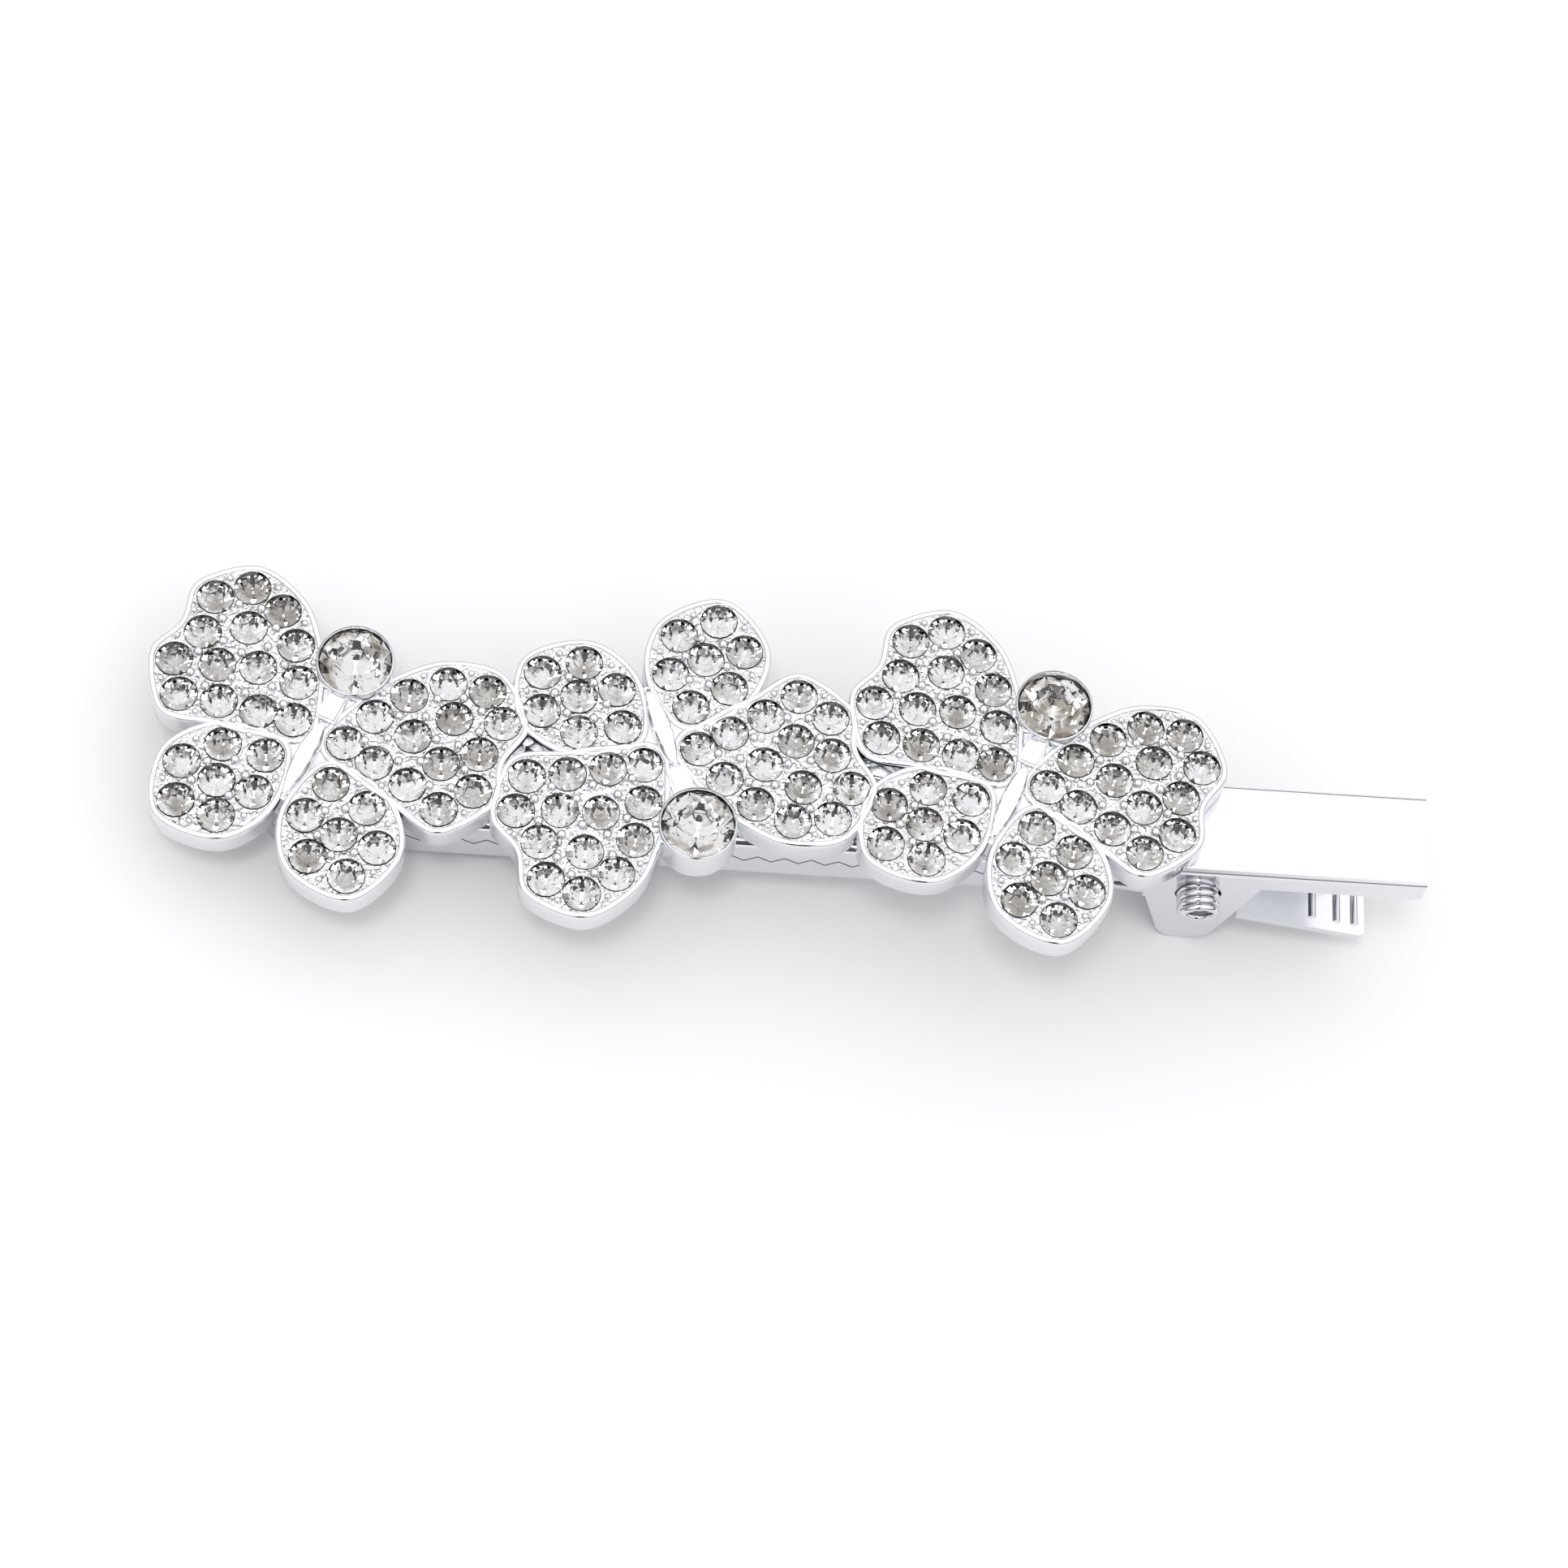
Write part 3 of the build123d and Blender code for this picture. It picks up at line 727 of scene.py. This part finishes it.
@dataclass
class Butterfly:
    """One butterfly of the casting: four wing plates, the body and the head cup."""

    number: int
    axes: ClipAxes
    casting_base: float = 3.1           # the casting's under face, from the hinge
    casting: float = 1.8                # its thickness
    body_length: float = 5.0
    body_width: float = 1.16
    body_rise: float = 0.50
    body_below_middle: float = 1.65     # body's middle, from the wings' middle towards the tail
    head_above_middle: float = 4.47
    cup_height: float = 2.4
    cup_radius: float = 2.15
    cup_facets: int = 64
    rim_drop: float = 0.05              # rims below the casting's upper face, before any step up
    step_up: float = 0.012              # from one butterfly's wings to the next one's
    web_rise: float = 0.03              # root's under face above the casting's
    web_drop: float = 0.16              # root's upper face below the casting's
    wings: tuple[tuple[str, float, int], ...] = (   # name, step up, stones inside the outer row
        ("left_forewing", 0.024, 3), ("right_forewing", 0.018, 3),
        ("left_hindwing", 0.006, 1), ("right_hindwing", 0.0, 1),
    )
    root: tuple[tuple[float, float], ...] = (       # right half of the metal between the wings
        (0.40, -4.30), (0.78, -3.45), (0.85, -2.40), (1.30, -1.20), (0.62, -0.60), (0.48, 0.10),
        (0.66, 0.75), (1.20, 1.25), (1.20, 2.50), (0.90, 3.10),
    )

    def stone_rows(self, wing: str) -> np.ndarray:
        """Stone places of one wing."""
        return StoneSet(f"butterfly_{self.number}_{wing}_stones", self.axes).places()

    def frame2d(self) -> tuple[np.ndarray, np.ndarray, np.ndarray]:
        """The butterfly's middle, its direction to the right and its direction to the head."""
        both = [self.stone_rows(w)[:, :2].mean(0) for w in ("left_forewing", "right_forewing")]
        head = StoneSet(f"butterfly_{self.number}_head_stone", self.axes).places()[0, :2]
        right = both[1] - both[0]
        right /= np.linalg.norm(right)
        ahead = np.array([-right[1], right[0]])
        return head - ahead * self.head_above_middle, right, ahead

    def add_to(self, draft: MeshDraft) -> None:
        """Add the whole butterfly to the casting's draft."""
        top = self.casting_base + self.casting
        lift = self.step_up * self.number
        for wing, extra, inner in self.wings:
            rows = self.stone_rows(wing)
            rim = top + lift + extra - self.rim_drop
            WingPlate(rows[:, :2], rim, self.casting_base, inner).add_to(draft)
        middle, right, ahead = self.frame2d()
        self.add_web(draft, middle, right, ahead, top)
        self.add_body(draft, middle, right, ahead, top)
        self.add_neck(draft, middle, right, ahead, top)
        self.add_cup(draft)

    def add_web(self, draft: MeshDraft, middle: np.ndarray, right: np.ndarray,
                ahead: np.ndarray, top: float) -> None:
        """Add the metal that joins the wing roots, clear of their stone seats."""
        outline = [*self.root, *((-a, b) for a, b in reversed(self.root))]
        plan = [middle + right * a + ahead * b for a, b in outline]
        levels = (self.casting_base + self.web_rise, top - self.web_drop)
        draft.rings([[(*p, z) for p in plan] for z in levels])

    def add_body(self, draft: MeshDraft, middle: np.ndarray, right: np.ndarray,
                 ahead: np.ndarray, top: float) -> None:
        """Add the polished body: a long lens with a soft ridge, pointed at both ends."""
        stations, across = 31, 21
        plan_power, ridge_power = 0.85, 0.6     # how full the lens and its ridge are to their ends
        blunt, buried = 0.01, 0.45              # half width at the points, and depth of the foot
        section = ((0.0, 0.7, 0.93, 1.0), (1.0, 0.93, 0.5, -0.6))   # share of width, of rise
        rings = []
        for i in range(stations):
            t = -1 + 2 * i / (stations - 1)
            width = self.body_width / 2 * (1 - t * t) ** plan_power + blunt
            rise = self.body_rise * (1 - t * t) ** ridge_power
            centre = middle + ahead * (t * self.body_length / 2 - self.body_below_middle)
            ring = [(*(centre + right * width * side), top - buried) for side in (1, -1)]
            for j in range(across):
                s = -1 + 2 * j / (across - 1)
                height = rise * np.interp(abs(s), *section)
                ring.append((*(centre + right * s * width), top + height))
            rings.append(ring)
        draft.rings(rings)

    def add_neck(self, draft: MeshDraft, middle: np.ndarray, right: np.ndarray,
                 ahead: np.ndarray, top: float) -> None:
        """Add the small raised block between the body and the head cup."""
        low, high, half, edge = 0.75, 2.45, 0.62, 0.12
        rings = []
        # Inset and height: the block's foot, its shoulder, a rounded edge and a sunk middle.
        for inset, z in ((0.0, self.casting_base), (0.0, top), (0.04, top + 0.10),
                         (edge, top + 0.14), (2 * edge, top + 0.06)):
            corners = [(-half + inset, low + inset), (half - inset, low + inset),
                       (half - inset, high - inset), (-half + inset, high - inset)]
            rings.append([(*(middle + right * a + ahead * b), z) for a, b in corners])
        draft.rings(rings)

    def add_cup(self, draft: MeshDraft) -> None:
        """Add the turned cup round the head stone."""
        x, y = StoneSet(f"butterfly_{self.number}_head_stone", self.axes).places()[0, :2]
        outer, height = self.cup_radius, self.cup_height
        # Radius and height from the casting's under face: wall, rounded rim, cone under the stone.
        profile = (
            (outer - 0.08, 0.0), (outer, 0.08), (outer, height - 0.20), (outer - 0.02, height - 0.08),
            (outer - 0.06, height - 0.02), (outer - 0.11, height), (outer - 0.15, height - 0.04),
            (outer - 0.17, height - 0.14), (outer - 0.19, height - 0.34), (0.2, height - 2.20),
        )
        rings = [circle(x, y, self.casting_base + z, radius, self.cup_facets) for radius, z in profile]
        draft.rings(rings)


@dataclass
class PaveCasting:
    """The one-piece casting of three butterflies."""

    axes: ClipAxes
    butterflies: int = 3

    def build(self) -> bpy.types.Object:
        """Make the casting in place of the plain solid."""
        draft = MeshDraft()
        for number in range(1, self.butterflies + 1):
            Butterfly(number, self.axes).add_to(draft)
        # Slot 2 is the seat walls' dark cement, which also paints the shade round the stones.
        finishes = [Finish.PLATED_CASTING, Finish.CAST_BED, Finish.CEMENT, Finish.CAST_BACK]
        piece = draft.build("pave_casting", self.axes, finishes, "plated_casting")
        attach(piece, UPPER)
        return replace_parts(piece, "butterfly_casting")


# ------------------------------------------------------------------ spring
@dataclass
class WoundSpring:
    """One wire wound through all four ears, with a hairpin leg for each arm."""

    axes: ClipAxes
    wire: float = 0.43
    thinner: float = 0.005      # the plain solid's wire radius less this wire's
    coil: float = 2.4           # outside diameter
    overhang: float = 1.5       # coil standing out of each ear
    arm_width: float = 5.4
    leg_reach: float = 5.2      # from the hinge to where a leg turns back
    leg_span: float = 0.9       # between a leg's two strands
    leg_offset: float = 0.8     # a leg's middle, from the clip's
    plate_under: float = 2.4    # plate's under face above the hinge
    lever_drop: float = 2.4     # lever's underside below the hinge
    lever_slope: float = 15.6   # degrees
    steel: float = 0.5
    seat: float = 0.05          # between a leg and the steel that it bears on
    pitch: float = 0.445        # between turns
    turn_steps: int = 28        # points of one turn
    fewest_steps: int = 8       # points of a short run of turns
    leg_steps: int = 12         # points of a leg's strand, and of its bend
    twist_steps: int = 24       # points of the wire between the two legs
    wire_sides: int = 12
    same: float = 1e-4          # points of the wire nearer than this are one

    @property
    def mean(self) -> float:
        """Radius of the wire's middle line."""
        return (self.coil - self.wire) / 2

    @property
    def inner(self) -> float:
        """A leg's inner strand, from the clip's middle."""
        return self.leg_offset - self.leg_span / 2

    def tangent_angle(self, height: float) -> float:
        """Angle on the coil where a leg to the given end height leaves it."""
        reach = math.hypot(self.leg_reach, height)
        lean = math.asin(self.mean / reach)
        return math.atan2(height, self.leg_reach) + math.copysign(math.pi / 2 - lean, height)

    def helix(self, start: float, end: float, angle: float, at_end: bool) -> list:
        """Turns between two places across the clip.

        Args:
            start: Where the turns start, across the clip.
            end: Where they end.
            angle: The angle at the start or at the end.
            at_end: Whether the angle is the one at the end.

        Returns:
            Points of the turns.
        """
        turns = abs(end - start) / self.pitch
        total = -2 * math.pi * turns
        first = angle - total if at_end else angle
        count = max(self.fewest_steps, round(turns * self.turn_steps))
        points = []
        for i in range(count + 1):
            t = i / count
            phi = first + total * t
            points.append((self.mean * math.cos(phi), start + (end - start) * t,
                           self.mean * math.sin(phi)))
        return points

    def leg(self, height: float, middle: float) -> list:
        """A hairpin leg: out to its end, round, and back to the coil."""
        angle = self.tangent_angle(height)
        start = np.array([self.mean * math.cos(angle), 0.0, self.mean * math.sin(angle)])
        end = np.array([self.leg_reach, 0.0, height])
        along = (end - start) / np.linalg.norm(end - start)
        half, steps = self.leg_span / 2, self.leg_steps
        points = []
        for step in range(1, steps + 1):
            points.append(start + (end - start) * step / steps + np.array([0, middle - half, 0]))
        for step in range(1, steps):
            bend = math.pi * step / steps
            points.append(end + along * half * math.sin(bend)
                          + np.array([0, middle - half * math.cos(bend), 0]))
        for step in range(steps + 1):
            points.append(end + (start - end) * step / steps + np.array([0, middle + half, 0]))
        return [tuple(p) for p in points]

    def path(self) -> np.ndarray:
        """The wire's middle line from one end to the other."""
        reach = self.arm_width / 2 + self.overhang - self.wire / 2
        rest = self.wire / 2 + self.seat + self.thinner
        lever_top = -self.lever_drop + self.steel - self.leg_reach * math.tan(
            math.radians(self.lever_slope))
        top_end = self.plate_under - rest
        low_end = lever_top + rest / math.cos(math.radians(self.lever_slope))
        inner = self.inner
        outer = self.leg_offset + self.leg_span / 2
        top, low = self.tangent_angle(top_end), self.tangent_angle(low_end)
        points = self.helix(-reach, -outer, top, at_end=True)
        points += self.leg(top_end, -self.leg_offset)
        sweep = (low - top) % (2 * math.pi)
        for i in range(1, self.twist_steps):
            t = i / self.twist_steps
            phi = top + sweep * t
            points.append((self.mean * math.cos(phi), -inner + 2 * inner * t,
                           self.mean * math.sin(phi)))
        points += self.leg(low_end, self.leg_offset)
        points += self.helix(outer, reach, low, at_end=False)[1:]
        return np.array(points)

    def build(self) -> bpy.types.Object:
        """Make the wire as a tube, its middle running round the coil between the two legs."""
        path = self.path()
        keep = np.r_[True, np.linalg.norm(np.diff(path, axis=0), axis=1) > self.same]
        path = path[keep]
        run = np.gradient(path, axis=0)
        run /= np.linalg.norm(run, axis=1)[:, None]
        side = np.cross(run[0], (0.0, 1.0, 0.0))
        side /= np.linalg.norm(side)
        turns = [2 * math.pi * k / self.wire_sides for k in range(self.wire_sides)]
        rings = []
        for spot, ahead in zip(path, run):
            side = side - ahead * (side @ ahead)
            side /= np.linalg.norm(side)
            other = np.cross(ahead, side)
            rings.append([spot + self.wire / 2 * (side * math.cos(a) + other * math.sin(a))
                          for a in turns])
        draft = MeshDraft()
        draft.rings(rings)
        piece = draft.build("wound_spring", self.axes, [Finish.SPRING_WIRE], "spring_wire")
        self.axes.world(0, -self.inner, 0)
        self.axes.world(0, self.inner, 0)
        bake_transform(piece)
        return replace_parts(piece, "torsion_spring")


# ------------------------------------------------------------------ arms and adhesive
@dataclass
class PressedArms:
    """The two plated arms, kept as they are in the frame."""

    nodes: tuple[str, ...] = ("upper_arm", "lower_arm")

    def dress(self) -> None:
        """Give both arms their plating."""
        for name in self.nodes:
            node = frame["nodes"][name]
            node.data.materials.clear()
            node.data.materials.append(Finish.PLATED_STEEL.material())
            LOG.info("dressed %s", name)


@dataclass
class AdhesivePads:
    """Epoxy under each butterfly, squeezed out a little where the casting presses on it."""

    butterflies: int = 3

    def dress(self) -> None:
        """Give each pad its finish."""
        for number in range(1, self.butterflies + 1):
            node = frame["nodes"][f"butterfly_{number}_adhesive"]
            node.data.materials.clear()
            node.data.materials.append(Finish.EPOXY.material())
            LOG.info("dressed %s", node.name)


# ------------------------------------------------------------------ studio
@dataclass
class Studio:
    """Plain pale floor, soft lights and the camera."""

    axes: ClipAxes
    elevation: float = 66.0     # camera above the plate's plane
    azimuth: float = -6.0       # camera towards the jaw's tip
    roll: float = 3.6           # clip runs down to the right by this much
    lens: float = 100.0
    share: float = 0.82         # of the picture's width that the clip fills
    floor_colour: str = "#ECECED"
    backdrop: str = "#FFFFFF"       # what shows past the floor's edge
    brightness: float = 1.28
    strip: float = 0.06         # brightness of the dark strip over the tent's
    strip_side: tuple[float, float] = (0.10, 0.17)  # its soft edge, as part of a unit direction
    strip_start: tuple[float, float] = (0.30, 0.38)     # its soft start, on the camera's side
    tent: tuple[tuple[float, str], ...] = (         # height of a direction, colour seen there
        (0.0, "#101013"), (0.10, "#1C1C1F"), (0.20, "#8C8C90"), (0.34, "#E6E6E9"),
        (0.60, "#FFFFFF"),
    )
    floor_half: float = 1.5
    floor_roughness: float = 0.9
    key_place: tuple[float, float, float] = (-0.14, -0.18, 0.72)
    key_size: float = 0.16
    key_glow: float = 16.0
    sensor: float = 36.0        # millimetres, as the lens
    near: float = 0.01          # nearest that the camera draws

    def floor(self) -> None:
        """Add the floor that the clip lies on."""
        mesh = bpy.data.meshes.new("floor")
        half = self.floor_half
        mesh.from_pydata([(-half, -half, 0), (half, -half, 0), (half, half, 0), (-half, half, 0)],
                         [], [(0, 1, 2, 3)])
        material, _, shader = start_material("pale_paper")
        shader.inputs["Base Color"].default_value = linear(self.floor_colour)
        shader.inputs["Roughness"].default_value = self.floor_roughness
        mesh.materials.append(material)
        floor = bpy.data.objects.new("floor", mesh)
        bpy.context.scene.collection.objects.link(floor)

    def light(self, name: str, place: tuple[float, float, float], size: float, glow: float) -> None:
        """Add one soft lamp that looks at the clip.

        Args:
            name: The lamp's name.
            place: Where it stands, in metres.
            size: Its diameter, in metres.
            glow: Its brightness as seen in a mirror, where 1 is white.
        """
        lamp = bpy.data.lights.new(name, "AREA")
        lamp.shape = "DISK"
        lamp.size = size
        lamp.energy = glow * math.pi**2 * size**2 / 4
        body = bpy.data.objects.new(name, lamp)
        body.location = place
        body.rotation_euler = (-Vector(place)).to_track_quat("-Z", "Y").to_euler()
        bpy.context.scene.collection.objects.link(body)

    def world(self) -> None:
        """White tent with a dark gap along the horizon and a dark strip from it to the lens."""
        world = bpy.data.worlds.new("room")
        world.use_nodes = True
        tree = world.node_tree
        place = add_node(tree, "ShaderNodeTexCoord").outputs["Generated"]
        split = add_node(tree, "ShaderNodeSeparateXYZ", {}, {"Vector": place})
        height = add_node(tree, "ShaderNodeMath", {"operation": "ABSOLUTE"},
                          {0: split.outputs["Z"]})
        ramp = add_node(tree, "ShaderNodeValToRGB", {}, {"Fac": height.outputs["Value"]})
        elements = ramp.color_ramp.elements
        for i, (position, colour) in enumerate(self.tent):
            element = elements[i] if i < 2 else elements.new(position)
            element.position = position
            element.color = linear(colour)
        towards, beside = (add_node(tree, "ShaderNodeVectorMath", {"operation": "DOT_PRODUCT"},
                                    {0: place}) for _ in range(2))
        towards.inputs[1].default_value = -self.axes.across
        beside.inputs[1].default_value = self.axes.along
        apart = add_node(tree, "ShaderNodeMath", {"operation": "ABSOLUTE"},
                         {0: beside.outputs["Value"]})
        outside = add_node(tree, "ShaderNodeMapRange",
                           {"From Min": self.strip_side[0], "From Max": self.strip_side[1],
                            "To Min": self.strip, "To Max": 1.0}, {"Value": apart.outputs["Value"]})
        before = add_node(tree, "ShaderNodeMapRange",
                          {"From Min": self.strip_start[0], "From Max": self.strip_start[1],
                           "To Min": 1.0, "To Max": self.strip}, {"Value": towards.outputs["Value"]})
        lit = add_node(tree, "ShaderNodeMath", {"operation": "MAXIMUM"},
                       {0: outside.outputs["Result"], 1: before.outputs["Result"]})
        sky = add_node(tree, "ShaderNodeVectorMath", {"operation": "SCALE"},
                       {0: ramp.outputs["Color"], "Scale": lit.outputs["Value"]})
        background = tree.nodes["Background"]
        tree.links.new(sky.outputs["Vector"], background.inputs["Color"])
        background.inputs["Strength"].default_value = self.brightness
        plain = add_node(tree, "ShaderNodeBackground", {"Color": linear(self.backdrop)})
        seen = add_node(tree, "ShaderNodeLightPath").outputs["Is Camera Ray"]
        room = add_node(tree, "ShaderNodeMixShader", {},
                        {0: seen, 1: background.outputs["Background"], 2: plain.outputs["Background"]})
        tree.links.new(room.outputs["Shader"], tree.nodes["World Output"].inputs["Surface"])
        bpy.context.scene.world = world

    def towards_camera(self) -> Vector:
        """Direction from the clip to the camera."""
        tilt, turn = math.radians(self.elevation), math.radians(self.azimuth)
        level = self.axes.along * math.sin(turn) - self.axes.across * math.cos(turn)
        return level * math.cos(tilt) + self.axes.up * math.sin(tilt)

    def camera(self) -> None:
        """Aim the camera at the middle of the clip."""
        towards = self.towards_camera()
        low, high = Vector(CAD_BOX[0]), Vector(CAD_BOX[1])
        middle = (low + high) / 2
        data = bpy.data.cameras.new("camera")
        data.lens = self.lens
        data.sensor_width = self.sensor
        data.clip_start = self.near
        distance = (high.x - low.x) / self.share * (self.lens / self.sensor)
        right = self.axes.up.cross(towards).normalized()
        above = towards.cross(right).normalized()
        run = Vector((self.axes.along @ right, self.axes.along @ above))
        spin = math.atan2(run.y, run.x) + math.radians(self.roll)
        right, above = (right * math.cos(spin) + above * math.sin(spin),
                        above * math.cos(spin) - right * math.sin(spin))
        pose = Matrix((right, above, towards)).transposed().to_4x4()
        pose.translation = middle + towards * distance
        camera = bpy.data.objects.new("camera", data)
        camera.matrix_world = pose
        bpy.context.scene.collection.objects.link(camera)
        bpy.context.scene.camera = camera

    def build(self) -> None:
        """Set the floor, lights, room and camera."""
        self.floor()
        self.world()
        self.light("key", self.key_place, self.key_size, self.key_glow)
        self.camera()
        bpy.context.scene.view_settings.view_transform = "Standard"


def main() -> None:
    """Build the clip's pieces in order and report each one."""
    logging.basicConfig(level=logging.INFO, format="%(name)s %(message)s")
    axes = ClipAxes.from_frame()
    draws = np.random.default_rng(7)
    PressedArms().dress()
    AdhesivePads().dress()
    for name in sorted(n for n in frame["nodes"] if "stone" in n):
        piece = StoneSet(name, axes).build(draws)
        LOG.info("cut %s, %d faces", piece.name, len(piece.data.polygons))
    piece = PaveCasting(axes).build()
    LOG.info("cast %s, %d faces", piece.name, len(piece.data.polygons))
    piece = WoundSpring(axes).build()
    LOG.info("wound %s, %d faces", piece.name, len(piece.data.polygons))
    Studio(axes).build()


if __name__ == "__main__":
    main()
